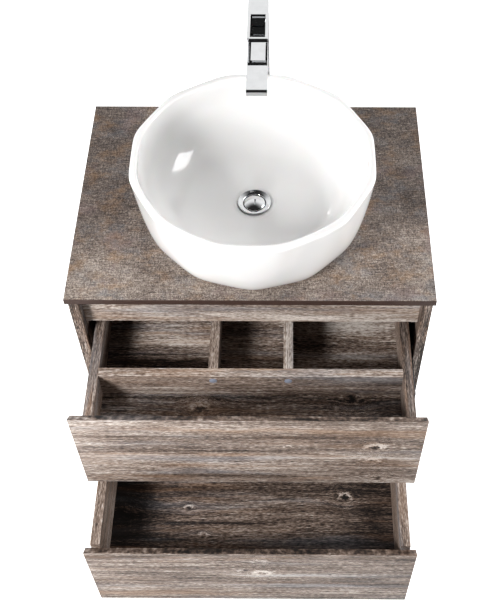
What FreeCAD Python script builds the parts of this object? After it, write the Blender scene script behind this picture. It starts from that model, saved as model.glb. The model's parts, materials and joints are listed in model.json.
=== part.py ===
import FreeCAD, Part
import math
import os
import re
import Sketcher

# Wall-hung vanity: two inset drawers, thin worktop, faceted vessel basin, tall single-lever tap.
# Frame: X to the right, Y to the wall (wall plane at 0), Z up from the underside of the cabinet, mm.

os.makedirs("parts", exist_ok=True)
doc = FreeCAD.newDocument("vanity")
V = FreeCAD.Vector

# ---- driving dimensions -------------------------------------------------------------------------
DIMS = {
    "top_w": 600, "top_d": 454, "top_t": 12, "cab_high": 498, "cab_w": 594, "cab_d": 446,
    "board": 16, "rail_high": 84, "rail_setback": 20, "rear_high": 90, "low_rail_high": 70,
    "drain_x": 4, "drain_y": -263, "top_hole_d": 50, "tap_x": 10.8, "tap_y": -43, "tap_hole_d": 34,
    "front_w": 557, "front_bevel": 13, "front_high": 208,
    "up_front_z": 246, "up_out": 197, "up_box_z": 322, "up_box_high": 75,
    "low_front_z": 4, "low_out": 313, "low_box_z": 97, "low_box_high": 116,
    "box_w": 537, "box_len": 352, "floor_t": 8, "floor_up": 10, "groove": 7,
    "cross_back": 101, "bay_w": 109, "cap_r": 6.5,
    "run_len": 350, "run_high": 27,
    "basin_high": 135, "basin_top_r": 204.5, "basin_heel_r": 186, "basin_heel_z": 27, "basin_foot_r": 164,
    "bowl_r": 187, "bowl_floor": 22,
    "tap_w": 35, "tap_high": 230, "spout_w": 33, "spout_t": 10, "spout_reach": 176,
    "lever_w": 34, "lever_t": 7, "lever_gap": 20,
}
sheet = doc.addObject("Spreadsheet::Sheet", "dims")
for row, (alias, number) in enumerate(DIMS.items(), 1):
    sheet.set(f"A{row}", alias)
    sheet.set(f"B{row}", str(number))
    sheet.setAlias(f"B{row}", alias)
doc.recompute()

PLANES = {"XY": "XY_Plane", "XZ": "XZ_Plane", "YZ": "YZ_Plane"}
NODES = []


def named(text):
    """Turns plain dimension names into cell references."""
    return re.sub(r"[a-z]\w*", lambda m: "dims." + m.group() if m.group() in DIMS else m.group(), str(text))


def bind(obj, prop, text):
    obj.setExpression(prop, named(text))


def place(obj, at):
    for axis, text in zip("xyz", at):
        bind(obj, f"Placement.Base.{axis}", text)


# ---- sketch and feature helpers -----------------------------------------------------------------
def body(name, at=(0, 0, 0)):
    new = doc.addObject("PartDesign::Body", name)
    new.Label = name
    place(new, at)
    NODES.append(new)
    return new


def sketch(owner, plane, offset=0):
    new = owner.newObject("Sketcher::SketchObject", owner.Name + "_sketch")
    role = PLANES[plane]
    new.AttachmentSupport = [(next(o for o in owner.Origin.OriginFeatures if o.Role == role), "")]
    new.MapMode = "FlatFace"
    bind(new, "AttachmentOffset.Base.z", offset)
    return new


def rectangle(sk, x0, y0, wide, high):
    """A rectangle whose corner and size follow the dimension table."""
    ends = [V(0, 0, 0), V(7, 0, 0), V(7, 5, 0), V(0, 5, 0)]
    first = sk.GeometryCount
    for k in range(4):
        sk.addGeometry(Part.LineSegment(ends[k], ends[(k + 1) % 4]))
    for k in range(4):
        sk.addConstraint(Sketcher.Constraint("Coincident", first + k, 2, first + (k + 1) % 4, 1))
    for k, kind in enumerate(("Horizontal", "Vertical", "Horizontal", "Vertical")):
        sk.addConstraint(Sketcher.Constraint(kind, first + k))
    for args, text in (
        (("DistanceX", first, 1, first, 2, 7.0), wide),
        (("DistanceY", first + 1, 1, first + 1, 2, 5.0), high),
        (("DistanceX", -1, 1, first, 1, 0.0), x0), (("DistanceY", -1, 1, first, 1, 0.0), y0),
    ):
        index = sk.addConstraint(Sketcher.Constraint(*args))
        bind(sk, f"Constraints[{index}]", text)


def circle(sk, x, y, radius):
    index = sk.addGeometry(Part.Circle(V(3, 3, 0), V(0, 0, 1), 2))
    for args, text in (
        (("Radius", index, 2.0), radius), (("DistanceX", -1, 1, index, 3, 3.0), x),
        (("DistanceY", -1, 1, index, 3, 3.0), y),
    ):
        row = sk.addConstraint(Sketcher.Constraint(*args))
        bind(sk, f"Constraints[{row}]", text)


def polygon(sk, points):
    ring = [V(x, y, 0) for x, y in points]
    for k, start in enumerate(ring):
        sk.addGeometry(Part.LineSegment(start, ring[(k + 1) % len(ring)]))
    for k in range(len(ring)):
        sk.addConstraint(Sketcher.Constraint("Coincident", k, 2, (k + 1) % len(ring), 1))


def previous_volume(owner):
    return owner.Shape.Volume if not owner.Shape.isNull() else 0.0


def grow(owner, kind, sk, gain, **props):
    before = previous_volume(owner)
    feature = owner.newObject("PartDesign::" + kind, owner.Name + "_" + kind.lower())
    feature.Profile = sk
    for key, value in props.items():
        if key == "Length":
            bind(feature, "Length", value)
        else:
            setattr(feature, key, value)
    doc.recompute()
    if feature.Shape.isNull() or (feature.Shape.Volume - before) * gain < 1e-3:
        feature.Reversed = True
        doc.recompute()
    sk.Visibility = False
    return feature


def pad(owner, sk, length):
    return grow(owner, "Pad", sk, 1, Length=length)


def pocket(owner, sk, length):
    return grow(owner, "Pocket", sk, -1, Length=length)


def turn(owner, points, cut=False):
    """Revolves a half profile (radius, height) round the upright axis of the body."""
    sk = sketch(owner, "XZ")
    polygon(sk, points)
    kind, gain = ("Groove", -1) if cut else ("Revolution", 1)
    return grow(owner, kind, sk, gain, ReferenceAxis=(sk, ["V_Axis"]), Angle=360)


def board(name, size, at):
    new = body(name, at)
    sk = sketch(new, "XY")
    rectangle(sk, 0, 0, size[0], size[1])
    pad(new, sk, size[2])
    return new


def drill(owner, plane, offset, holes, length):
    sk = sketch(owner, plane, offset)
    for x, y, radius in holes:
        circle(sk, x, y, radius)
    return pocket(owner, sk, length)


def slot(owner, plane, offset, corner, size, length):
    sk = sketch(owner, plane, offset)
    rectangle(sk, corner[0], corner[1], size[0], size[1])
    return pocket(owner, sk, length)


def edge_break(owner, size, pick, kind="Chamfer"):
    """Chamfers or rounds the edges of the finished body that the test picks."""
    tip = owner.Tip
    names = [f"Edge{k + 1}" for k, edge in enumerate(tip.Shape.Edges) if pick(edge)]
    feature = owner.newObject("PartDesign::" + kind, owner.Name + "_edge")
    feature.Base = (tip, names)
    if kind == "Chamfer":
        feature.Size = size
    else:
        feature.Radius = size
    doc.recompute()


def solid_node(name, shape, at=("0", "0", "0")):
    new = doc.addObject("Part::Feature", name)
    new.Label = name
    new.Shape = shape
    place(new, at)
    NODES.append(new)
    return new


def level(value):
    """Picks the edges that lie at one height."""
    return lambda edge: all(abs(v.Z - value) < 1e-3 for v in edge.Vertexes)


d = DIMS
inner_w = d["cab_w"] - 2 * d["board"]

# ---- worktop ------------------------------------------------------------------------------------
worktop = board("worktop", ("top_w", "top_d", "top_t"), ("-top_w/2", "-top_d", "cab_high"))
drill(worktop, "XY", 0, [("top_w/2+drain_x", "top_d+drain_y", "top_hole_d/2"),
                         ("top_w/2+tap_x", "top_d+tap_y", "tap_hole_d/2")], "top_t")
edge_break(worktop, 0.8, lambda e: level(d["top_t"])(e) and e.Curve.TypeId == "Part::GeomLine")

# ---- cabinet boards -----------------------------------------------------------------------------
JOINTS = [("cab_d-418", "cab_high-20"), ("cab_d-418", "cab_high-70"), ("cab_d-8", "cab_high-20"),
          ("cab_d-8", "cab_high-70"), ("60", "8"), ("cab_d-60", "8"), ("cab_d-8", "16+50")]
for side, sx in (("left", -1), ("right", 1)):
    at_x = "-cab_w/2" if sx < 0 else "cab_w/2-board"
    panel = board("side_panel_" + side, ("board", "cab_d", "cab_high"), (at_x, "-cab_d", 0))
    drill(panel, "YZ", 0, [(y, z, 2.5) for y, z in JOINTS], "board")
    drill(panel, "YZ", 0 if sx < 0 else "board", [(y, z, 5) for y, z in JOINTS], 4)

bottom = board("bottom_panel", ("cab_w-2*board", "cab_d-20", "board"), ("-cab_w/2+board", "-cab_d+20", 0))
rail = board("front_rail", ("cab_w-2*board", "board", "rail_high"),
             ("-cab_w/2+board", "-cab_d+rail_setback", "cab_high-rail_high"))
rear = board("rear_rail", ("cab_w-2*board", "board", "rear_high"),
             ("-cab_w/2+board", "-board", "cab_high-rear_high"))
slot(rear, "XZ", 0, ("cab_w/2-board+drain_x-30", 0), (60, 48), "board")
drill(rear, "XZ", 0, [(70, 30, 4), ("cab_w-2*board-70", 30, 4)], "board")
for hook_x in (4, "cab_w-2*board-16"):
    slot(rear, "XZ", 0, (hook_x, 40), (12, 10), "board")
low_rail = board("lower_rear_rail", ("cab_w-2*board", "board", "low_rail_high"),
                 ("-cab_w/2+board", "-board", "board"))
PILOTS = {
    bottom: [("40", "8"), ("cab_d-20-60", "8")], rail: [("8", "rail_high-20"), ("8", "rail_high-70")],
    rear: [("8", "rear_high-20"), ("8", "rear_high-70")], low_rail: [("8", "50")],
}
for owner, spots in PILOTS.items():
    for offset in (0, "cab_w-2*board"):
        drill(owner, "YZ", offset, [(y, z, 2.5) for y, z in spots], 34)

# Carcass screws: flat head let 4 mm into the side, shank running 34 mm into the cross board.
screws = []
for y, z in ((-418, 478), (-418, 428), (-8, 478), (-8, 428), (-386, 8), (-60, 8), (-8, 66)):
    for sx in (-1, 1):
        head = Part.makeCylinder(5, 3, V(sx * (d["cab_w"] / 2 - 1), y, z), V(-sx, 0, 0))
        shank = Part.makeCylinder(2.5, 43, V(sx * (d["cab_w"] / 2 - 4), y, z), V(-sx, 0, 0))
        socket = Part.makeBox(2, 3, 3, V(sx * (d["cab_w"] / 2 - 1) - 1, y - 1.5, z - 1.5))
        screws.append(head.fuse(shank).cut(socket))
solid_node("carcass_screws", Part.makeCompound(screws))

# Cover caps closing the screw heads on the outside of the cabinet.
caps = []
for y, z in ((-418, 478), (-418, 428), (-8, 478), (-8, 428), (-386, 8), (-60, 8), (-8, 66)):
    for sx in (-1, 1):
        caps.append(Part.makeCylinder(5, 1, V(sx * (d["cab_w"] / 2 - 1), y, z), V(sx, 0, 0)))
solid_node("screw_caps", Part.makeCompound(caps))

# Wall hangers: a zinc housing in each upper rear corner with a hook reaching the wall plane.
hangers = []
for sx in (-1, 1):
    x0 = sx * (inner_w / 2 - 10)
    housing = Part.makeBox(20, 24, 58, V(x0 - 10, -40, 436))
    arm = Part.makeBox(8, 36, 6, V(x0 - 4, -36, 450))
    hangers.append(housing.cut(Part.makeBox(12, 18, 40, V(x0 - 6, -40, 446))).fuse(arm))
solid_node("wall_hangers", Part.makeCompound(hangers))

# ---- ball-bearing runners -----------------------------------------------------------------------
# Cross-sections (x from the cabinet side towards the drawer, z about the runner axis).
def channel(depth, high, sheet_t, lip):
    h = high / 2
    reach = depth - sheet_t
    lower = [(0, -h), (depth, -h), (depth, lip - h), (reach, lip - h),
             (reach, sheet_t - h), (sheet_t, sheet_t - h)]
    return lower + [(x, -z) for x, z in reversed(lower)]


MEMBERS = {
    "outer": (0.0, channel(9.4, d["run_high"], 1.4, 2.6)),
    "middle": (1.9, channel(9.0, 21, 1.2, 2.4)),
    "inner": (3.7, [(0, -7), (1.2, -7), (1.2, -4), (8.8, -4), (8.8, 4), (1.2, 4), (1.2, 7), (0, 7)]),
}


def runner(member, axis_z, shift, trim=0.0):
    """Both members of one kind for one drawer, mirrored left and right."""
    start, profile = MEMBERS[member]
    pair = []
    for sx in (-1, 1):
        ring = [V(sx * (inner_w / 2 - start - x), 0, axis_z + z) for x, z in profile]
        face = Part.Face(Part.makePolygon(ring + ring[:1]))
        bar = face.extrude(V(0, d["run_len"] - trim, 0))
        bar.translate(V(0, -426 - shift, 0))
        pair.append(bar)
    return Part.makeCompound(pair)


for tag, axis_z, out in (("upper", 331, d["up_out"]), ("lower", 107, d["low_out"])):
    solid_node("runner_outer_" + tag, runner("outer", axis_z, 0))
    solid_node("runner_middle_" + tag, runner("middle", axis_z, out / 2, 10))
    solid_node("runner_inner_" + tag, runner("inner", axis_z, out, 2))


# ---- drawers ------------------------------------------------------------------------------------
PEG_UP = {"up": (24, 62), "low": (28, 98)}


def drawer(tag, prefix, box_high):
    """Front with a bevelled finger edge, two grooved sides, a let-in floor and dowel holes."""
    out, front_z, box_z = prefix + "_out", prefix + "_front_z", prefix + "_box_z"
    front_y = f"-cab_d-{out}"
    front = board(tag + "_front", ("front_w", "board", "front_high"), ("-front_w/2", front_y, front_z))
    sk = sketch(front, "YZ")
    high, low, back = d["front_high"], d["front_high"] - d["front_bevel"], d["board"]
    polygon(sk, [(1.5, high + 1), (1.5, high), (back, low), (back + 1, low), (back + 1, high + 1)])
    pocket(front, sk, "front_w")
    drill(front, "XZ", "-board", [(f"front_w/2{sign}(box_w/2-9)", f"{box_z}+{up}-{front_z}", 3)
                                  for sign in "+-" for up in PEG_UP[prefix]], 11)
    for side, at_x in (("left", "-box_w/2"), ("right", "box_w/2-board")):
        size = ("board", "box_len", box_high)
        part = board(f"{tag}_side_{side}", size, (at_x, f"{front_y}+board", box_z))
        groove_x = "board-groove" if side == "left" else 0
        slot(part, "XZ", 0, (groove_x, "floor_up"), ("groove", "floor_t"), "box_len")
        drill(part, "XZ", 0, [(9 if side == "left" else "board-9", up, 3) for up in PEG_UP[prefix]], 15)
    board(tag + "_floor", ("box_w-2*board+2*groove", "box_len", "floor_t"),
          ("-box_w/2+board-groove", f"{front_y}+board", f"{box_z}+floor_up"))
    return front_y


up_y = drawer("upper", "up", "up_box_high")
low_y = drawer("lower", "low", "low_box_high")
WALL = ("floor_up+floor_t", "up_box_high-floor_up-floor_t")
over_floor = "up_box_z+floor_up+floor_t"

cross = board("upper_cross_divider", ("box_w-2*board", "board", WALL[1]),
              ("-box_w/2+board", f"{up_y}+board+cross_back", over_floor))
for side, at_x in (("left", "-bay_w/2-board"), ("right", "bay_w/2")):
    board("upper_divider_" + side, ("board", "box_len-cross_back-board", WALL[1]),
          (at_x, f"{up_y}+2*board+cross_back", over_floor))
for side, at_x in (("left", "-box_w/2+board"), ("right", "bay_w/2+board")):
    board("upper_back_" + side, ("box_w/2-2*board-bay_w/2", "board", WALL[1]),
          (at_x, f"{up_y}+box_len", over_floor))
board("lower_back", ("box_w-2*board", "board", "low_box_high-floor_up-floor_t"),
      ("-box_w/2+board", f"{low_y}+box_len", "low_box_z+floor_up+floor_t"))

# Domed caps over the screws that hold the two bay dividers to the cross divider.
domes = []
cross_y = -d["cab_d"] - d["up_out"] + d["board"] + d["cross_back"]
for sx in (-1, 1):
    centre = V(sx * (d["bay_w"] + d["board"]) / 2, cross_y, 383)
    ball = Part.makeSphere(12, centre + V(0, 10.0, 0))
    slab = Part.makeCylinder(d["cap_r"], 3, centre, V(0, -1, 0))
    domes.append(ball.common(slab))
solid_node("divider_caps", Part.makeCompound(domes))

# ---- vessel basin -------------------------------------------------------------------------------
def ring_points(radius, turn_deg, z):
    angles = [math.radians(turn_deg + 30 * k) for k in range(12)]
    return [V(radius * math.cos(a), radius * math.sin(a), z) for a in angles]


def faceted_drum():
    """Twelve-sided foot flaring to the heel, then triangles up to a rim turned half a step."""
    foot = ring_points(d["basin_foot_r"], 0, 0)
    heel = ring_points(d["basin_heel_r"], 0, d["basin_heel_z"])
    top = ring_points(d["basin_top_r"], 15, d["basin_high"])
    outlines = [foot, top]
    for k in range(12):
        after = (k + 1) % 12
        outlines.append([foot[k], foot[after], heel[after], heel[k]])
        outlines.append([heel[k], heel[after], top[k]])
        outlines.append([top[k], top[after], heel[after]])
    return Part.makeSolid(Part.makeShell([Part.Face(Part.makePolygon(o + o[:1])) for o in outlines]))


def turned(points):
    ring = [V(r, 0, z) for r, z in points]
    return Part.Face(Part.makePolygon(ring + ring[:1])).revolve(V(0, 0, 0), V(0, 0, 1), 360)


def bowl_profile():
    """Half section of the hollow: dished floor, quarter-round flank, slightly flared lip."""
    bottom_z = d["bowl_floor"]
    rim_z = d["basin_high"]
    points = [(0, rim_z + 5), (0, bottom_z), (32, bottom_z)]
    for k in range(1, 15):
        t = k / 14
        radius = 32 + (d["bowl_r"] - 32) * math.sin(t * math.pi / 2) ** 0.85
        points.append((radius, bottom_z + (rim_z - bottom_z) * (1 - math.cos(t * math.pi / 2)) ** 1.25))
    return points + [(d["bowl_r"], rim_z + 5)]


drum = faceted_drum()
hollow = turned(bowl_profile())
seat = turned([(0, -1), (23, -1), (23, d["bowl_floor"] + 1), (0, d["bowl_floor"] + 1)])
relief = turned([(45, -1), (150, -1), (150, 4), (120, 12), (45, 12)])
basin_shape = drum.cut(hollow).cut(seat).cut(relief)
solid_node("vessel_basin", basin_shape, ("drain_x", "drain_y", "cab_high+top_t"))

# ---- waste --------------------------------------------------------------------------------------
base_z = d["cab_high"] + d["top_t"]
seat_z = d["bowl_floor"]
waste_at = ("drain_x", "drain_y", "cab_high+top_t")

waste = body("waste_body", waste_at)
flange = [(0.2, 28.2), (2.4, 28.2), (3.2, 27.2), (0.6, 19.2), (-4, 18.5)]
turn(waste, [(21.5, seat_z + 0.2)] + [(radius, seat_z + up) for up, radius in flange]
     + [(18.5, -70), (20.5, -70), (20.5, seat_z - 1)])
sk = sketch(waste, "XY", -14)
rectangle(sk, -19, -2, 38, 4)
pad(waste, sk, 14)
drill(waste, "XY", -15, [(0, 0, 4.05)], 16)

flange_seal = body("waste_seal", waste_at)
turn(flange_seal, [(21.8, seat_z), (27.5, seat_z), (27.5, seat_z + 0.2), (21.8, seat_z + 0.2)])
under_seal = body("waste_washer", waste_at)
turn(under_seal, [(20.6, -15), (31, -15), (31, -12), (20.6, -12)])
back_nut = body("waste_nut", waste_at)
turn(back_nut, [(20.6, -27), (29, -27), (29, -15), (20.6, -15)])

plug = body("waste_plug", waste_at)
dome = [(0, seat_z + 5), (8, seat_z + 3.9), (14, seat_z + 1.8), (17.2, seat_z + 0.3), (18, seat_z - 0.6)]
turn(plug, dome + [(18, seat_z - 1.8), (4, seat_z - 1.8), (4, -13), (0, -13)])

# ---- bottle trap --------------------------------------------------------------------------------
trap_at = ("drain_x", "drain_y", 0)
coupling = body("trap_top_nut", trap_at)
turn(coupling, [(16.1, 433), (26, 433), (26, 460), (20.6, 460), (20.6, 436), (16.1, 436)])
dip = body("trap_dip_tube", trap_at)
turn(dip, [(14.2, 364), (16, 364), (16, 437.6), (20.4, 437.6), (20.4, 439.8), (14.2, 439.8)])
shell = body("trap_body", trap_at)
turn(shell, [(0, 380), (26, 380), (26, 432), (0, 432)])
sk = sketch(shell, "XZ", -52)
circle(sk, 0, 412, 18)
pad(shell, sk, 52)
turn(shell, [(0, 380), (23.5, 380), (23.5, 428), (16, 428), (16, 432), (0, 432)], cut=True)
drill(shell, "XZ", -52, [(0, 412, 16)], 32)
cup = body("trap_cup", trap_at)
turn(cup, [(0, 352), (24, 352), (28, 358), (28, 390), (26, 390), (26, 378),
           (24, 378), (24, 360), (22, 355), (0, 355)])

AXIS_Y = FreeCAD.Rotation(V(1, 0, 0), -90)
for name, points, y in (
    ("trap_outlet_pipe", [(14.2, -243 + 14), (16, -243 + 14), (16, 0), (14.2, 0)], 0),
    ("trap_side_nut", [(18.1, -225), (23, -225), (23, -205), (16.2, -205), (16.2, -211), (18.1, -211)], 0),
    ("trap_rosette", [(16.2, -8), (24, -8), (28, -2), (28, 0), (16.2, 0)], 0),
):
    fitting = body(name, ("drain_x", y, 412))
    turn(fitting, points)
    fitting.Placement = FreeCAD.Placement(fitting.Placement.Base, AXIS_Y)

# ---- tap ----------------------------------------------------------------------------------------
tap_at = ("tap_x", "tap_y", "cab_high+top_t")
foot_seal = body("tap_foot_seal", tap_at)
sk = sketch(foot_seal, "XY")
rectangle(sk, "-tap_w/2+0.5", "-tap_w/2+0.5", "tap_w-1", "tap_w-1")
circle(sk, 0, 0, 16)
pad(foot_seal, sk, 1.5)

column = body("tap_column", tap_at)
sk = sketch(column, "XY", 1.5)
rectangle(sk, "-tap_w/2", "-tap_w/2", "tap_w", "tap_w")
pad(column, sk, "tap_high-1.5")
drill(column, "XY", "tap_high", [(0, 0, 14)], 26)
drill(column, "XY", 1.5, [(-9, 0, 4.5), (9, 0, 4.5)], 14)
drill(column, "XY", 1.5, [(0, 10, 4)], 14)
edge_break(column, 0.5, lambda e: e.Curve.TypeId == "Part::GeomLine" and e.BoundBox.ZLength > 50)

spout = body("tap_spout", ("tap_x", "tap_y-spout_reach", "cab_high+top_t+tap_high-spout_t"))
sk = sketch(spout, "XY")
rectangle(sk, "-spout_w/2", 0, "spout_w", "spout_reach-tap_w/2")
pad(spout, sk, "spout_t")
slot(spout, "XZ", "-(spout_reach-tap_w/2)", (-11, 3), (22, 5), "spout_reach-tap_w/2-7")
drill(spout, "XY", 0, [(0, 17, 9.5)], 4)
edge_break(spout, 3, lambda e: e.BoundBox.XLength > 32 and e.BoundBox.ZMin > 5 and e.BoundBox.YMax < 1)
edge_break(spout, 0.4, lambda e: e.Length > 150 and abs(abs(e.Vertexes[0].X) - d["spout_w"] / 2) < 1e-3)

aerator = body("tap_aerator", ("tap_x", "tap_y-spout_reach+17", "cab_high+top_t+tap_high-spout_t"))
turn(aerator, [(0, -1), (6.5, -1), (6.5, -2.5), (9.5, -2.5), (9.5, 3), (0, 3)])

stud = body("tap_stud", tap_at)
sk = sketch(stud, "XY", -64)
circle(sk, 0, 10, 4)
pad(stud, sk, 79.5)
for name, low, thick in (("tap_rubber_pad", -15, 3), ("tap_horseshoe", -18, 3)):
    plate = body(name, tap_at)
    sk = sketch(plate, "XY", low)
    rectangle(sk, -20, -20, 40, 40)
    pad(plate, sk, thick)
    slot(plate, "XY", low, (-15, -20), (30, 25), thick)
    drill(plate, "XY", low, [(0, 10, 4.2)], thick)
nut = body("tap_nut", tap_at)
sk = sketch(nut, "XY", -27)
sixths = [math.radians(60 * k) for k in range(6)]
polygon(sk, [(7.5 * math.cos(a), 10 + 7.5 * math.sin(a)) for a in sixths])
pad(nut, sk, 9)
drill(nut, "XY", -27, [(0, 10, 4.0)], 9)

cartridge = body("tap_cartridge", tap_at)
turn(cartridge, [(0, 204), (14, 204), (14, 229.7), (6.06, 229.7), (6.06, 211), (0, 211)])

# Swivelling stem: round shaft in the cartridge, flat tongue above it that carries the lever pin.
stem = body("tap_stem", tap_at)
turn(stem, [(0, 211.4), (6, 211.4), (6, 230.3), (9, 230.3), (9, 232), (0, 232)])
sk = sketch(stem, "XY", 230.3)
rectangle(sk, -9.5, -7, 19, 21)
pad(stem, sk, 8.7)
drill(stem, "YZ", 9.5, [(12, 235, 1.56)], 19)

# Lever: hollow block over the tongue, plate with a long window, finger bar at its tip.
lever = body("tap_lever", tap_at)
sk = sketch(lever, "XY", 231.6)
rectangle(sk, "-lever_w/2", -18, "lever_w", 36)
pad(lever, sk, "tap_high+lever_gap-231.6+1")
slot(lever, "XY", 231.6, (-10.5, -14), (21, 30.4), 13.4)
slot(lever, "YZ", "lever_w/2", (15, 231.6), (3, 3), "lever_w")
sk = sketch(lever, "XY", "tap_high+lever_gap")
rectangle(sk, "-lever_w/2", -84, "lever_w", 107)
pad(lever, sk, "lever_t")
slot(lever, "XY", "tap_high+lever_gap+lever_t", (-12, -79), (24, 56.5), "lever_t")
drill(lever, "YZ", "lever_w/2", [(12, 235, 1.5)], "lever_w")
edge_break(lever, 0.5, level(d["tap_high"] + d["lever_gap"] + d["lever_t"]))

pin = body("tap_lever_pin", tap_at)
sk = sketch(pin, "YZ", "-lever_w/2")
circle(sk, 12, 235, 1.5)
pad(pin, sk, "lever_w")

# ---- dowels -------------------------------------------------------------------------------------
for tag, prefix in (("upper", "up"), ("lower", "low")):
    pegs = []
    for sx in (-1, 1):
        for up in PEG_UP[prefix]:
            front_y, high = -d["cab_d"] - d[prefix + "_out"], d[prefix + "_box_z"] + up
            start = V(sx * (d["box_w"] / 2 - 9), front_y + 5, high)
            pegs.append(Part.makeCylinder(3, 26, start, V(0, 1, 0)))
    solid_node(tag + "_dowels", Part.makeCompound(pegs))

# ---- checks and export --------------------------------------------------------------------------
doc.recompute()
for obj in doc.Objects:
    if "Invalid" in obj.State or "Error" in obj.State:
        raise RuntimeError("not computed: " + obj.Name)
for node in NODES:
    if node.Shape.isNull() or not node.Shape.isValid() or node.Shape.Volume < 1:
        raise RuntimeError("bad shape: " + node.Label)
    node.Shape.exportStep(f"parts/{node.Label}.step")
print(len(NODES), "nodes")
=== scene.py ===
import json
import math
import bmesh
import bpy
import numpy as np
from mathutils import Matrix, Vector


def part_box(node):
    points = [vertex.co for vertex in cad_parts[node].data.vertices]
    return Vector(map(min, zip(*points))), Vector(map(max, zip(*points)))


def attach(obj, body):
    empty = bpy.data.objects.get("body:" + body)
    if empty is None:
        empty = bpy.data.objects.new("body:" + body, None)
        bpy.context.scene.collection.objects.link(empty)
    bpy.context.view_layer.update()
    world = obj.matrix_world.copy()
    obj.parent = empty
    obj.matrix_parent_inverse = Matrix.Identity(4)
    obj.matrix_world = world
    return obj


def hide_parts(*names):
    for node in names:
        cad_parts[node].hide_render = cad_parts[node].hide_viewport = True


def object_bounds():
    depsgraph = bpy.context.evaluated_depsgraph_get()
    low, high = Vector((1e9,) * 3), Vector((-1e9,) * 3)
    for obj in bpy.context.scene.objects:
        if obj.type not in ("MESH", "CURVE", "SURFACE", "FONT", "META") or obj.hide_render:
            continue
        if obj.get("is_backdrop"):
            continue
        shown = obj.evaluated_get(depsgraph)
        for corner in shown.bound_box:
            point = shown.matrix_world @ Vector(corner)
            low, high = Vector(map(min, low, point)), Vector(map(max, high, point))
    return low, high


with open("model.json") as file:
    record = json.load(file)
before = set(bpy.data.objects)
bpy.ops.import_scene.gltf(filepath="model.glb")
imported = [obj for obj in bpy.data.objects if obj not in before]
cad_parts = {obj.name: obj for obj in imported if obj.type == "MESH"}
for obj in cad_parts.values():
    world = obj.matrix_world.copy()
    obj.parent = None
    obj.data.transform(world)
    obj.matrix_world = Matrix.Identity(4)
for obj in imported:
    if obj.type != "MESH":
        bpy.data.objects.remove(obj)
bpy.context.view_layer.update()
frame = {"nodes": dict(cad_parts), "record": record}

NODES = frame["nodes"]

# ---- shader building ----------------------------------------------------------------------------


class Shader:
    """A principled material built node by node."""

    def __init__(self, name):
        self.mat = bpy.data.materials.new(name)
        self.mat.use_nodes = True
        self.tree = self.mat.node_tree
        self.bsdf = self.tree.nodes["Principled BSDF"]

    def node(self, kind, values=None, **settings):
        made = self.tree.nodes.new(kind)
        for key, value in settings.items():
            setattr(made, key, value)
        for key, value in (values or {}).items():
            self.feed(made.inputs[key], value)
        return made

    def feed(self, socket, value):
        if isinstance(value, bpy.types.NodeSocket):
            self.tree.links.new(value, socket)
        else:
            socket.default_value = value

    def set(self, **values):
        for key, value in values.items():
            self.feed(self.bsdf.inputs[key.replace("_", " ")], value)

    def math(self, op, a, b=0.0):
        return self.node("ShaderNodeMath", {0: a, 1: b}, operation=op).outputs[0]

    def combine(self, x, y, z=0.0):
        return self.node("ShaderNodeCombineXYZ", {0: x, 1: y, 2: z}).outputs[0]

    def place(self):
        """Position on the part, in metres, split into its three axes."""
        where = self.node("ShaderNodeTexCoord").outputs["Object"]
        parts = self.node("ShaderNodeSeparateXYZ", {0: where}).outputs
        return where, parts[0], parts[1], parts[2]

    def facing(self):
        """The surface direction on the part, split into its three axes."""
        normal = self.node("ShaderNodeTexCoord").outputs["Normal"]
        return self.node("ShaderNodeSeparateXYZ", {0: normal}).outputs

    def noise(self, vector, scale=1.0, detail=3.0, rough=0.55, distort=0.0):
        made = self.node("ShaderNodeTexNoise", {"Vector": vector, "Scale": scale, "Detail": detail,
                                                "Roughness": rough, "Distortion": distort})
        return made.outputs[0]

    def spread(self, value, low, high, to_low=0.0, to_high=1.0):
        """Eases from one value to another while the input crosses a band."""
        made = self.node("ShaderNodeMapRange", {0: value, 1: low, 2: high, 3: to_low, 4: to_high},
                         interpolation_type="SMOOTHSTEP")
        return made.outputs[0]

    def ramp(self, value, stops):
        made = self.node("ShaderNodeValToRGB", {0: value})
        while len(made.color_ramp.elements) < len(stops):
            made.color_ramp.elements.new(0.5)
        for element, (at, colour) in zip(made.color_ramp.elements, stops):
            element.position = at
            element.color = (*colour, 1.0)
        return made.outputs[0]

    def mix(self, factor, a, b):
        made = self.node("ShaderNodeMix", data_type="RGBA")
        for key, value in ((0, factor), (6, a), (7, b)):
            if isinstance(value, tuple) and len(value) == 3:
                value = (*value, 1.0)
            self.feed(made.inputs[key], value)
        return made.outputs[2]

    def bump(self, height, depth, strength=1.0):
        made = self.node("ShaderNodeBump", {"Strength": strength, "Distance": depth, "Height": height})
        self.feed(self.bsdf.inputs["Normal"], made.outputs[0])


def linear(r, g, b):
    """Display colour, 0 to 255, to the linear value that shaders use."""
    return tuple(((c / 255 + 0.055) / 1.055) ** 2.4 if c > 10 else c / 255 / 12.92 for c in (r, g, b))


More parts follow.
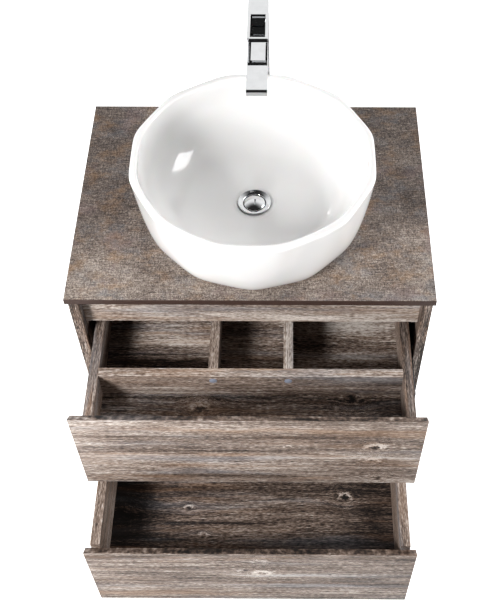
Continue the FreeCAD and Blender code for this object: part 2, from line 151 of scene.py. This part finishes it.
# ---- materials ----------------------------------------------------------------------------------
def plank(name, along, seed, tone=0.0, contrast=1.0, knots=(), streaks_and_painted_light_shade=(), cool=0.62, warm=0.62, painted_top_light_shade=0.0):
    """Weathered pine decor. along is the grain's axis, across is the sum of the other two axes.
    knots are (along, across, size, dark, pale ring); strokes are (along, across, long, wide, strength):
    narrow ones are grain streaks, broad ones are painted light and painted shade.
    The last argument shifts the tone of faces that point up, by their facing: painted light when positive,
    painted shade when negative."""
    s = Shader(name)
    where, x, y, z = s.place()
    u = {"x": x, "y": y, "z": z}[along]
    across = [a for k, a in (("x", x), ("y", y), ("z", z)) if k != along]
    v = s.math("ADD", across[0], across[1])
    plain_v = v
    sway = s.noise(s.combine(s.math("MULTIPLY", u, 3.0), s.math("MULTIPLY", v, 7.0), seed), 1.0, 2.0)
    v = s.math("ADD", v, s.math("MULTIPLY", s.math("SUBTRACT", sway, 0.5), 0.020))
    core = 0.0
    ring = 0.0
    rough_u = s.math("SUBTRACT", s.noise(s.combine(u, plain_v, seed + 5.0), 230.0, 3.0, 0.7), 0.5)
    rough_v = s.math("SUBTRACT", s.noise(s.combine(u, plain_v, seed + 9.0), 170.0, 3.0, 0.7), 0.5)
    for ku, kv, size, dark, pale in knots:
        du = s.math("DIVIDE", s.math("SUBTRACT", u, ku), size * 1.5)
        dv = s.math("DIVIDE", s.math("SUBTRACT", plain_v, kv), size)
        du = s.math("ADD", du, s.math("MULTIPLY", rough_u, 2.4))
        dv = s.math("ADD", dv, s.math("MULTIPLY", rough_v, 2.4))
        d2 = s.math("ADD", s.math("MULTIPLY", du, du), s.math("MULTIPLY", dv, dv))
        bulge = s.math("POWER", 2.718, s.math("MULTIPLY", d2, -0.12))
        pull = s.math("MULTIPLY", s.math("SUBTRACT", v, kv), bulge)
        v = s.math("SUBTRACT", v, s.math("MULTIPLY", pull, 0.78))
        near = s.math("POWER", 2.718, s.math("MULTIPLY", d2, -2.2))
        core = s.math("MAXIMUM", core, s.math("MULTIPLY", near, dark))
        rim = s.math("SUBTRACT", s.math("SQRT", d2), 1.15)
        rim = s.math("POWER", 2.718, s.math("MULTIPLY", s.math("MULTIPLY", rim, rim), -5.0))
        lit = s.spread(s.math("ADD", dv, s.math("MULTIPLY", rough_u, 3.0)), -0.8, 1.0, 0.15, 1.2)
        ring = s.math("MAXIMUM", ring, s.math("MULTIPLY", s.math("MULTIPLY", rim, lit), pale))

    def grain(fu, fv, detail, rough, shift):
        return s.noise(s.combine(s.math("MULTIPLY", u, fu), s.math("MULTIPLY", v, fv), seed + shift),
                       1.0, detail, rough)

    broad = grain(1.3, 13.0, 2.0, 0.5, 3.1)
    medium = grain(3.6, 64.0, 3.0, 0.6, 7.7)
    streak = grain(8.0, 210.0, 3.0, 0.65, 11.3)
    fibre = grain(26.0, 560.0, 3.0, 0.75, 17.9)
    speck = grain(115.0, 620.0, 2.0, 0.6, 19.0)
    blotch = grain(6.0, 20.0, 4.0, 0.65, 23.0)
    value = 0.45 + tone
    layers = ((broad, 0.50), (medium, 0.68), (streak, 0.75), (fibre, 1.50), (speck, 1.60), (blotch, 0.50))
    for layer, weight in layers:
        value = s.math("ADD", value, s.math("MULTIPLY", s.math("SUBTRACT", layer, 0.5), weight * contrast))
    ragged = s.math("MULTIPLY", s.math("SUBTRACT", medium, 0.5), 1.6)
    # Streaks along the grain; on the drawer floors the broad ones are painted light and painted shade.
    for su, sv, long, wide, strength in streaks_and_painted_light_shade:
        du = s.math("DIVIDE", s.math("SUBTRACT", u, su), long)
        dv = s.math("ADD", s.math("DIVIDE", s.math("SUBTRACT", plain_v, sv), wide), ragged)
        d2 = s.math("ADD", s.math("MULTIPLY", du, du), s.math("MULTIPLY", dv, dv))
        mark = s.math("POWER", 2.718, s.math("MULTIPLY", d2, -1.0))
        value = s.math("ADD", value, s.math("MULTIPLY", mark, strength))
    cracks = s.spread(grain(3.4, 260.0, 4.0, 0.75, 29.0), 0.58, 0.70)
    gate = s.spread(grain(2.0, 24.0, 2.0, 0.5, 37.0), 0.42, 0.62)
    cracks = s.math("MULTIPLY", cracks, gate)
    value = s.math("SUBTRACT", value, s.math("MULTIPLY", cracks, 0.42 * contrast))
    value = s.math("ADD", s.math("SUBTRACT", value, core), ring)
    # Painted light and shade on faces that point up, set by their facing.
    if painted_top_light_shade:
        value = s.math("ADD", value, s.spread(s.facing()[2], 0.45, 0.65, 0.0, painted_top_light_shade))
    colour = s.ramp(value, [
        (0.02, linear(14, 11, 10)), (0.22, linear(57, 47, 42)), (0.40, linear(98, 82, 72)),
        (0.55, linear(131, 114, 103)), (0.72, linear(164, 149, 138)), (0.96, linear(216, 207, 199))])
    rust = s.spread(grain(2.8, 38.0, 4.0, 0.65, 41.0), 0.50, 0.68)
    tan = s.mix(value, linear(64, 42, 28), linear(164, 128, 98))
    colour = s.mix(s.math("MULTIPLY", rust, warm), colour, tan)
    silver = s.spread(grain(1.9, 27.0, 4.0, 0.65, 53.0), 0.50, 0.68)
    ash = s.mix(value, linear(62, 62, 66), linear(166, 166, 170))
    colour = s.mix(s.math("MULTIPLY", silver, cool), colour, ash)
    s.set(Base_Color=colour, Roughness=s.spread(streak, 0.3, 0.7, 0.62, 0.48), Specular_IOR_Level=0.30)
    relief = s.math("ADD", s.math("MULTIPLY", fibre, 0.7), s.math("MULTIPLY", speck, 0.4))
    s.bump(s.math("SUBTRACT", relief, s.math("MULTIPLY", cracks, 0.9)), 0.0004, 0.6)
    return s.mat


def oxide_top(name):
    """Brown stone print with blue-grey and rusty clouds and a linen weave; plain dark core on the edges."""
    s = Shader(name)
    where, x, y, z = s.place()
    cloud = s.noise(where, 8.0, 5.0, 0.66, 0.5)
    patch = s.noise(s.combine(s.math("ADD", x, 3.3), s.math("MULTIPLY", y, 1.7), 0.4), 24.0, 5.0, 0.68)
    grit = s.noise(where, 330.0, 3.0, 0.8)
    sand = s.noise(where, 760.0, 2.0, 0.8)
    warp = s.noise(s.combine(s.math("MULTIPLY", x, 42.0), s.math("MULTIPLY", y, 560.0), 1.0), 1.0, 3.0, 0.7)
    weft = s.noise(s.combine(s.math("MULTIPLY", x, 560.0), s.math("MULTIPLY", y, 60.0), 5.0), 1.0, 3.0, 0.7)
    value = 0.5
    layers = ((cloud, 0.60), (patch, 0.45), (grit, 1.25), (sand, 1.05), (warp, 0.95), (weft, 0.55))
    for layer, weight in layers:
        value = s.math("ADD", value, s.math("MULTIPLY", s.math("SUBTRACT", layer, 0.5), weight))
    # Painted light: the print lighter towards the front edge and darker towards the back.
    value = s.math("ADD", value, s.spread(y, -0.22, -0.44, -0.07, 0.13))
    colour = s.ramp(value, [
        (0.10, linear(34, 29, 27)), (0.32, linear(72, 62, 57)), (0.50, linear(104, 92, 85)),
        (0.68, linear(137, 124, 114)), (0.92, linear(186, 175, 165))])
    steel = s.spread(s.noise(s.combine(x, s.math("MULTIPLY", y, 1.4), 7.0), 15.0, 5.0, 0.72), 0.48, 0.70)
    blue = s.mix(value, linear(56, 58, 64), linear(134, 138, 144))
    colour = s.mix(s.math("MULTIPLY", steel, 0.50), colour, blue)
    rust = s.spread(s.noise(s.combine(x, s.math("MULTIPLY", y, 1.4), 12.0), 19.0, 5.0, 0.72), 0.48, 0.70)
    orange = s.mix(value, linear(84, 58, 40), linear(172, 136, 98))
    colour = s.mix(s.math("MULTIPLY", rust, 0.50), colour, orange)
    violet = s.spread(s.noise(s.combine(x, y, 21.0), 14.0, 4.0, 0.65), 0.53, 0.66)
    plum = s.mix(value, linear(72, 56, 56), linear(144, 122, 122))
    colour = s.mix(s.math("MULTIPLY", violet, 0.35), colour, plum)
    lip = s.combine(s.math("MULTIPLY", x, 60.0), s.math("MULTIPLY", z, 900.0), 2.0)
    lip = s.spread(s.noise(lip, 1.0, 3.0, 0.6), 0.3, 0.7)
    core = s.ramp(lip, [(0.0, linear(52, 37, 32)), (1.0, linear(72, 54, 47))])
    flat = s.spread(s.facing()[2], 0.80, 0.97)
    s.set(Base_Color=s.mix(flat, core, colour), Roughness=s.spread(grit, 0.3, 0.7, 0.66, 0.50),
          Specular_IOR_Level=0.30)
    s.bump(s.math("ADD", s.math("MULTIPLY", grit, 0.6), s.math("ADD", warp, weft)), 0.00022, 0.5)
    return s.mat


def glaze(name):
    """White vitreous china: clear coat over a very faintly uneven body."""
    s = Shader(name)
    where = s.place()[0]
    tint = s.spread(s.noise(where, 7.0, 2.0), 0.3, 0.7)
    colour = s.mix(tint, linear(238, 237, 236), linear(242, 241, 240))
    s.set(Base_Color=colour, Roughness=s.spread(s.noise(where, 30.0, 3.0), 0.3, 0.7, 0.10, 0.16),
          Specular_IOR_Level=0.5, Coat_Weight=0.6, Coat_Roughness=0.03,
          Subsurface_Weight=0.06, Subsurface_Scale=0.004)
    s.bump(s.noise(where, 26.0, 2.0), 0.0009, 0.10)
    return s.mat


def metal(name, colour, rough, streak=0.0, axis="z"):
    """Polished or drawn metal with water-spot and handling variation in its gloss."""
    s = Shader(name)
    where, x, y, z = s.place()
    smear = s.noise(where, 46.0, 3.0, 0.6)
    s.set(Base_Color=s.mix(s.spread(smear, 0.3, 0.7), tuple(c * 0.94 for c in colour), colour), Metallic=1.0,
          Roughness=s.spread(smear, 0.3, 0.75, rough * 0.8, rough * 1.3))
    if streak:
        along = [s.math("MULTIPLY", part, 8.0 if part_axis == axis else 900.0)
                 for part_axis, part in (("x", x), ("y", y), ("z", z))]
        s.bump(s.noise(s.combine(*along), 1.0, 2.0), 0.0002, streak)
    else:
        s.bump(s.noise(where, 18.0, 2.0), 0.0004, 0.06)
    return s.mat


def moulded(name, colour, rough, fleck=0.06):
    """Moulded plastic or rubber with a fine spark-eroded grain."""
    s = Shader(name)
    where = s.place()[0]
    cloud = s.noise(where, 22.0, 3.0)
    pit = s.noise(where, 1400.0, 2.0)
    dark = tuple(c * (1 - 2 * fleck) for c in colour)
    s.set(Base_Color=s.mix(s.spread(cloud, 0.3, 0.7), dark, colour),
          Roughness=s.spread(pit, 0.3, 0.7, rough, rough + 0.1))
    s.bump(pit, 0.0001, 0.35)
    return s.mat


# ---- mesh tools ---------------------------------------------------------------------------------
def finish_mesh(name, bm, material, body, node):
    mesh = bpy.data.meshes.new(name)
    bm.to_mesh(mesh)
    bm.free()
    piece = bpy.data.objects.new(name, mesh)
    bpy.context.collection.objects.link(piece)
    mesh.materials.append(material)
    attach(piece, body)
    if node:
        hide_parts(node)
    return piece


BODY_OF = {node: body for body, group in frame["record"]["behaviour"]["bodies"].items() for node in group}


def soften(node, material, width, segments=3):
    """The same part with its arrises broken, as edging or polishing leaves them."""
    bm = bmesh.new()
    bm.from_mesh(NODES[node].data)
    bmesh.ops.remove_doubles(bm, verts=bm.verts, dist=1e-6)
    bmesh.ops.dissolve_limit(bm, angle_limit=math.radians(1), verts=bm.verts, edges=bm.edges)
    sharp = [e for e in bm.edges if len(e.link_faces) == 2 and e.calc_face_angle() > math.radians(32)]
    made = bmesh.ops.bevel(bm, geom=sharp, offset=width, segments=segments, profile=0.5, affect="EDGES",
                           clamp_overlap=True)
    for face in made["faces"]:
        face.smooth = True
    return finish_mesh(node + "_finish", bm, material, BODY_OF[node], node)


def lathe(name, profile, centre, material, node, steps=160, hole=True):
    """Closed turned piece; profile is (radius, height) pairs in metres."""
    bm = bmesh.new()
    rings = []
    for radius, height in profile:
        if radius < 1e-7:
            rings.append([bm.verts.new(centre + Vector((0, 0, height)))])
            continue
        rings.append([bm.verts.new(centre + Vector((radius * math.cos(a), radius * math.sin(a), height)))
                      for a in (2 * math.pi * k / steps for k in range(steps))])
    pairs = list(zip(rings, rings[1:]))
    if hole:
        pairs.append((rings[-1], rings[0]))
    for low, high in pairs:
        for k in range(steps):
            j = (k + 1) % steps
            corners = [low[k % len(low)], low[j % len(low)], high[j % len(high)], high[k % len(high)]]
            unique = list(dict.fromkeys(corners))
            if len(unique) > 2:
                bm.faces.new(unique).smooth = True
    bmesh.ops.recalc_face_normals(bm, faces=bm.faces)
    return finish_mesh(name, bm, material, BODY_OF[node], node)


def arc(cx, cz, radius, start, end, steps):
    """Points of a circular corner, angles in degrees."""
    angles = [math.radians(start + (end - start) * k / steps) for k in range(steps + 1)]
    return [(cx + radius * math.cos(a), cz + radius * math.sin(a)) for a in angles]


# ---- basin --------------------------------------------------------------------------------------
low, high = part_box("vessel_basin")
BASIN_AT = Vector(((low.x + high.x) / 2, (low.y + high.y) / 2, low.z))
BASIN_HIGH = high.z - low.z
FOOT_R = 0.1643
RIM_R = 0.2046
SWELL = 0.0154
BOWL_R = 0.187
BOWL_FLOOR = 0.022
SEAT_R = 0.0285
FACETS = np.radians(15.0 * np.arange(24))
STEP_CORNER = math.cos(math.radians(15))
FOOT_SUPPORT = np.where(np.arange(24) % 2, FOOT_R * STEP_CORNER, FOOT_R)
RIM_SUPPORT = np.where(np.arange(24) % 2, RIM_R, RIM_R * STEP_CORNER)


def wall_radius(theta, rise, crisp):
    """Radius of the faceted wall; rise runs from 0 at the foot to 1 at the rim."""
    support = (1 - rise) * FOOT_SUPPORT + rise * RIM_SUPPORT
    turn = np.cos(theta - FACETS)
    seen = turn > 0.2
    ratio = turn[seen] / support[seen]
    return float(np.sum(ratio ** crisp) ** (-1.0 / crisp)) + SWELL * math.sin(math.pi * rise ** 0.48)


def bowl_height(t):
    """Inner wall: dish, flank, nearly upright lip. t runs from the waste to the rim."""
    radius = SEAT_R + 0.0002 + (BOWL_R - SEAT_R - 0.0002) * math.sin(t * math.pi / 2) ** 0.85
    return radius, BOWL_FLOOR + (BASIN_HIGH - 0.004 - BOWL_FLOOR) * (1 - math.cos(t * math.pi / 2)) ** 1.25


def make_basin(material):
    steps = 480
    crisp = 76.0
    bm = bmesh.new()
    rings = []

    def ring(function):
        turns = [2 * math.pi * k / steps for k in range(steps)]
        rings.append([bm.verts.new(BASIN_AT + Vector(function(a))) for a in turns])

    def on_wall(height, inset=0.0):
        def point(a):
            r = wall_radius(a, height / BASIN_HIGH, crisp) - inset
            return r * math.cos(a), r * math.sin(a), height
        return point

    def round_ring(radius, height):
        ring(lambda a: (radius * math.cos(a), radius * math.sin(a), height))

    for radius, height in ((0.023, 0.0), (0.045, 0.0), (0.048, 0.010), (0.140, 0.006), (0.150, 0.0)):
        round_ring(radius, height)
    ring(on_wall(0.0, 0.003))
    for lift in (0.25, 0.6, 1.0):
        ring(on_wall(0.003 * lift, 0.003 * (1 - math.sin(lift * math.pi / 2))))
    for k in range(1, 40):
        ring(on_wall(0.003 + (BASIN_HIGH - 0.009) * (k / 40) ** 1.5))

    def lip(share):
        """Rounded rim from the wall over the crown to the bowl."""
        def point(a):
            outer = wall_radius(a, 1.0, crisp) - 0.0004
            inner = BOWL_R + 0.35 * (outer - 0.199)
            mid, half = (outer + inner) / 2, (outer - inner) / 2
            angle = share * math.pi
            flat = math.copysign(abs(math.cos(angle)) ** 0.75, math.cos(angle))
            r = mid + half * flat
            return r * math.cos(a), r * math.sin(a), BASIN_HIGH - 0.006 + 0.006 * math.sin(angle) ** 0.8
        return point

    for k in range(0, 13):
        ring(lip(k / 12))
    for k in range(39, -1, -1):
        t = k / 40
        radius, height = bowl_height(t)

        def inside(a, radius=radius, height=height, t=t):
            outer = wall_radius(a, 1.0, crisp)
            share = max(0.0, (t - 0.55) / 0.45) ** 2
            r = radius + 0.35 * (outer - 0.199) * share
            return r * math.cos(a), r * math.sin(a), height
        ring(inside)
    for radius, drop in ((SEAT_R, 0.0002), (0.0280, 0.0006), (0.023, 0.0008)):
        round_ring(radius, BOWL_FLOOR - drop)
    for low_ring, high_ring in zip(rings, rings[1:] + rings[:1]):
        for k in range(steps):
            j = (k + 1) % steps
            bm.faces.new((low_ring[k], low_ring[j], high_ring[j], high_ring[k])).smooth = True
    bmesh.ops.recalc_face_normals(bm, faces=bm.faces)
    return finish_mesh("vessel_basin_glazed", bm, material, "cabinet", "vessel_basin")


# ---- finishes -----------------------------------------------------------------------------------
white_glaze = glaze("white_glaze")
chrome = metal("chrome_polished", linear(212, 213, 214), 0.032)
zinc = metal("zinc_drawn", linear(178, 180, 184), 0.30, 0.35, "y")
zinc_dark = metal("zinc_black_passivated", linear(92, 93, 96), 0.38, 0.35, "y")
brass = metal("brass_turned", linear(196, 158, 92), 0.22, 0.2)
rubber = moulded("rubber_black", linear(40, 40, 41), 0.62)
white_plastic = moulded("plastic_white", linear(232, 233, 232), 0.28, 0.02)
grey_plastic = moulded("plastic_grey", linear(128, 134, 148), 0.42, 0.04)
beech = plank("beech_dowel", "y", 90.0, 0.45, 0.5, cool=0.0, warm=1.0)

make_basin(white_glaze)
soften("worktop", oxide_top("oxide_print"), 0.0004, 2)

# Each board: grain axis, seed, tone, contrast, then the figure of its own. Tone is partly each board's own
# shade and partly painted light and shade: the lower drawer floor is set darker and the front rail lighter.
BOARDS = {
    "upper_front": ("x", 1.0, 0.12, 0.95, dict(
        knots=[(0.202, -0.273, 0.0078, 0.80, 0.52), (0.201, -0.318, 0.0060, 0.05, 0.55),
               (0.062, -0.271, 0.0030, 0.10, 0.55), (0.069, -0.323, 0.0030, 0.45, 0.05),
               (0.215, -0.379, 0.0070, 0.40, 0.05)],
        streaks_and_painted_light_shade=[(0.12, -0.306, 0.20, 0.0045, 0.34), (-0.05, -0.300, 0.16, 0.0030, 0.22),
                 (-0.10, -0.219, 0.26, 0.0050, 0.16), (-0.08, -0.240, 0.30, 0.0060, -0.16),
                 (-0.19, -0.256, 0.12, 0.0070, -0.14), (-0.01, -0.286, 0.10, 0.0035, -0.30),
                 (0.03, -0.334, 0.13, 0.0090, 0.14), (-0.22, -0.302, 0.12, 0.0060, 0.10),
                 (0.14, -0.190, 0.22, 0.0120, -0.10), (0.00, -0.375, 0.40, 0.0060, -0.12)], painted_top_light_shade=-0.27)),
    "lower_front": ("x", 5.0, 0.08, 0.95, dict(
        knots=[(0.019, -0.630, 0.0076, 0.10, 0.62), (-0.009, -0.615, 0.0060, 0.60, 0.05),
               (0.013, -0.580, 0.0070, 0.05, 0.36), (-0.108, -0.654, 0.0030, 0.45, 0.05),
               (0.137, -0.636, 0.0030, 0.45, 0.05)],
        streaks_and_painted_light_shade=[(0.14, -0.636, 0.24, 0.0060, 0.14), (0.24, -0.680, 0.09, 0.0100, -0.26),
                 (0.12, -0.668, 0.08, 0.0070, -0.24), (-0.18, -0.632, 0.16, 0.0080, -0.16),
                 (0.05, -0.641, 0.10, 0.0040, 0.26), (-0.20, -0.598, 0.12, 0.0070, 0.10)], painted_top_light_shade=-0.12)),
    "front_rail": ("x", 9.0, 0.32, 0.95, dict(cool=0.55)),
    "upper_cross_divider": ("x", 13.0, 0.10, 0.9, dict(
        streaks_and_painted_light_shade=[(-0.15, -0.166, 0.07, 0.0030, 0.34), (-0.05, -0.180, 0.12, 0.0026, 0.24),
                 (0.03, -0.190, 0.20, 0.0050, -0.20)], painted_top_light_shade=0.18)),
    "upper_floor": ("x", 17.0, 0.03, 1.05, dict(
        knots=[(-0.086, -0.215, 0.0085, 0.55, 0.24), (0.172, -0.192, 0.0080, 0.35, 0.12)],
        # Broad patches here are painted light in the rear bays and at the right by the cross divider,
        # painted shade at its left and along the front strip; the first two are grain streaks.
        streaks_and_painted_light_shade=[(-0.10, -0.185, 0.12, 0.0030, 0.20), (0.20, -0.150, 0.10, 0.0040, 0.22),
                 (-0.13, -0.050, 0.07, 0.0350, 0.20), (0.17, -0.050, 0.10, 0.0400, 0.34),
                 (-0.20, -0.122, 0.10, 0.0200, -0.38), (0.00, -0.215, 0.50, 0.0400, -0.20),
                 (0.18, -0.115, 0.09, 0.0200, 0.10)])),
    "lower_floor": ("x", 21.0, -0.11, 0.92, dict(
        knots=[(-0.117, -0.516, 0.0042, 0.60, 0.66), (0.168, -0.493, 0.0062, 0.80, 0.60),
               (-0.245, -0.527, 0.0100, 0.30, 0.12), (-0.088, -0.568, 0.0040, 0.20, 0.20)],
        # The three broad patches here are painted shade at the left and right and painted light in the
        # middle; the first two are grain streaks.
        streaks_and_painted_light_shade=[(-0.03, -0.545, 0.10, 0.0025, -0.40), (0.05, -0.495, 0.16, 0.0120, 0.08),
                 (-0.26, -0.530, 0.08, 0.2000, -0.50), (0.24, -0.530, 0.09, 0.2000, -0.20),
                 (-0.04, -0.530, 0.10, 0.2000, 0.06)])),
    "upper_divider_left": ("y", 25.0, 0.08, 0.8, dict(painted_top_light_shade=0.14)),
    "upper_divider_right": ("y", 29.0, 0.08, 0.8, dict(painted_top_light_shade=0.14)),
    "upper_side_left": ("y", 33.0, 0.06, 0.8, {}),
    "upper_side_right": ("y", 37.0, 0.06, 0.8, dict(warm=0.6, painted_top_light_shade=-0.12)),
    "lower_side_left": ("y", 41.0, 0.03, 0.8, {}),
    "lower_side_right": ("y", 45.0, 0.03, 0.8, {}),
    "upper_back_left": ("x", 49.0, 0.20, 1.1, {}),
    "upper_back_right": ("x", 53.0, 0.20, 1.1, {}),
    "lower_back": ("x", 57.0, 0.0, 1.0, {}),
    "side_panel_left": ("z", 61.0, -0.05, 1.1, dict(cool=0.6)),
    "side_panel_right": ("z", 65.0, 0.0, 1.1, {}),
    "bottom_panel": ("x", 69.0, 0.0, 1.0, {}),
    "rear_rail": ("x", 73.0, 0.0, 1.0, {}),
    "lower_rear_rail": ("x", 77.0, 0.0, 1.0, {}),
}
for node, (along, seed, tone, contrast, figure) in BOARDS.items():
    soften(node, plank("plank_" + node, along, seed, tone, contrast, **figure), 0.0006)

ARRIS = {"tap_column": 0.0009, "tap_spout": 0.0006, "tap_lever": 0.0007, "tap_stem": 0.0004,
         "trap_rosette": 0.0007}
for node, width in ARRIS.items():
    soften(node, chrome, width)

REST = {
    "carcass_screws": zinc, "wall_hangers": zinc, "tap_stud": zinc, "tap_horseshoe": zinc,
    "tap_lever_pin": zinc, "waste_nut": brass, "tap_nut": brass, "waste_seal": rubber,
    "waste_washer": rubber, "tap_foot_seal": rubber, "tap_rubber_pad": rubber,
    "divider_caps": grey_plastic, "screw_caps": grey_plastic, "tap_cartridge": grey_plastic,
    "tap_aerator": grey_plastic, "upper_dowels": beech, "lower_dowels": beech,
}
for node in NODES:
    if node.startswith("runner_"):
        REST[node] = zinc_dark
    elif node.startswith("trap_") and node != "trap_rosette":
        REST[node] = white_plastic
for node, material in REST.items():
    NODES[node].data.materials.clear()
    NODES[node].data.materials.append(material)

# ---- waste --------------------------------------------------------------------------------------
seat = BASIN_AT + Vector((0, 0, BOWL_FLOOR))
tail = -0.070 - BOWL_FLOOR
stem = -0.013 - BOWL_FLOOR
flange = ([(0.0216, 0.0002), (0.0276, 0.0002)] + arc(0.0272, 0.0022, 0.0010, -60, 110, 8)
          + [(0.0262, 0.0029), (0.0235, 0.0020), (0.0205, 0.0010), (0.0194, 0.0004), (0.0189, -0.0012),
             (0.0185, -0.0042), (0.0185, tail), (0.0205, tail), (0.0205, -0.0012)])
lathe("waste_body_turned", flange, seat, chrome, "waste_body")
dome = ([(0.0, 0.0050), (0.004, 0.0047), (0.008, 0.0039), (0.012, 0.0026), (0.015, 0.0014)]
        + arc(0.0170, -0.0004, 0.0010, 60, -60, 6)
        + [(0.0165, -0.0017), (0.004, -0.0017), (0.004, stem), (0.0, stem)])
lathe("waste_plug_turned", dome, seat, chrome, "waste_plug", hole=False)

# ---- room, light and camera ---------------------------------------------------------------------
def card(name, centre, size, aim, material):
    """A flat studio surface that faces a point."""
    mesh = bpy.data.meshes.new(name)
    w, h = size[0] / 2, size[1] / 2
    mesh.from_pydata([(-w, -h, 0), (w, -h, 0), (w, h, 0), (-w, h, 0)], [], [(0, 1, 2, 3)])
    piece = bpy.data.objects.new(name, mesh)
    bpy.context.collection.objects.link(piece)
    piece.location = centre
    piece.rotation_mode = "QUATERNION"
    piece.rotation_quaternion = (Vector(aim) - Vector(centre)).to_track_quat("Z", "Y")
    mesh.materials.append(material)
    piece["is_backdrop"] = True
    return piece


floor_mat = Shader("studio_floor")
haze = floor_mat.spread(floor_mat.noise(floor_mat.place()[0], 3.0, 2.0), 0.3, 0.7, 0.99, 1.0)
seen = floor_mat.node("ShaderNodeLightPath").outputs["Is Camera Ray"]
glow = floor_mat.math("MULTIPLY", haze, floor_mat.math("ADD", floor_mat.math("MULTIPLY", seen, 0.5), 0.5))
floor_mat.set(Base_Color=(0.8, 0.8, 0.8, 1.0), Roughness=0.9,
              Emission_Color=(1.0, 1.0, 1.0, 1.0), Emission_Strength=glow)
card("studio_floor", (0.0, -0.5, -0.34), (14.0, 14.0), (0.0, -0.5, 5.0), floor_mat.mat)

# Surroundings: white behind the part and low down, dark overhead and in front of it.
world = bpy.data.worlds.new("studio")
world.use_nodes = True
tree = world.node_tree
tilt = tree.nodes.new("ShaderNodeVectorMath")
tilt.operation = "DOT_PRODUCT"
tilt.inputs[1].default_value = (-0.10, -0.74, 0.66)
tree.links.new(tree.nodes.new("ShaderNodeTexCoord").outputs["Generated"], tilt.inputs[0])
sky = tree.nodes.new("ShaderNodeMapRange")
sky.interpolation_type = "SMOOTHSTEP"
for socket, value in zip(sky.inputs[1:5], (-0.05, 0.60, 1.22, 0.03)):
    socket.default_value = value
tree.links.new(tilt.outputs["Value"], sky.inputs[0])
seen = tree.nodes.new("ShaderNodeMath")
seen.operation = "MAXIMUM"
tree.links.new(sky.outputs[0], seen.inputs[0])
tree.links.new(tree.nodes.new("ShaderNodeLightPath").outputs["Is Camera Ray"], seen.inputs[1])
tree.nodes["Background"].inputs[0].default_value = (1.0, 1.0, 1.0, 1.0)
tree.links.new(seen.outputs[0], tree.nodes["Background"].inputs[1])
bpy.context.scene.world = world


def softbox(name, at, aim, size, power):
    data = bpy.data.lights.new(name, "AREA")
    data.shape = "RECTANGLE"
    data.size, data.size_y = size
    data.energy = power
    lamp = bpy.data.objects.new(name, data)
    bpy.context.collection.objects.link(lamp)
    lamp.location = at
    lamp.rotation_mode = "QUATERNION"
    lamp.rotation_quaternion = (Vector(aim) - Vector(at)).to_track_quat("-Z", "Y")
    return lamp


softbox("key", (-1.06, -1.50, 1.27), (0.0, -0.40, 0.45), (0.45, 0.45), 41.0)
softbox("over_back", (1.45, 0.25, 1.95), (0.0, -0.27, 0.60), (0.7, 0.7), 11.5)
softbox("fill_front", (2.40, -0.95, 0.72), (0.1, -0.30, 0.58), (0.5, 0.4), 21.0)
softbox("fill_back", (2.40, 0.05, 0.80), (0.1, -0.25, 0.58), (0.5, 0.4), 22.0)

CAM_AT = Vector((0.0578, -1.4011, 1.7807))
CAM_YAW, CAM_PITCH, CAM_ROLL = -0.01174, 0.9400, 0.00514
ahead = math.cos(CAM_PITCH)
forward = Vector((math.sin(CAM_YAW) * ahead, math.cos(CAM_YAW) * ahead, -math.sin(CAM_PITCH)))
level = Vector((math.cos(CAM_YAW), -math.sin(CAM_YAW), 0.0))
down = forward.cross(level)
side = level * math.cos(CAM_ROLL) + down * math.sin(CAM_ROLL)
top = -(down * math.cos(CAM_ROLL) - level * math.sin(CAM_ROLL))
camera = bpy.data.objects.new("camera", bpy.data.cameras.new("camera"))
bpy.context.collection.objects.link(camera)
camera.matrix_world = Matrix.Translation(CAM_AT) @ Matrix((side, top, -forward)).transposed().to_4x4()
camera.data.sensor_width = 36.0
camera.data.lens = 59.34
camera.data.shift_x = -0.0481
camera.data.shift_y = 0.0174
camera.data.clip_end = 60.0
bpy.context.scene.camera = camera

bpy.context.scene.view_settings.view_transform = "Standard"
bpy.context.scene.cycles.max_bounces = 10

low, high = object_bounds()
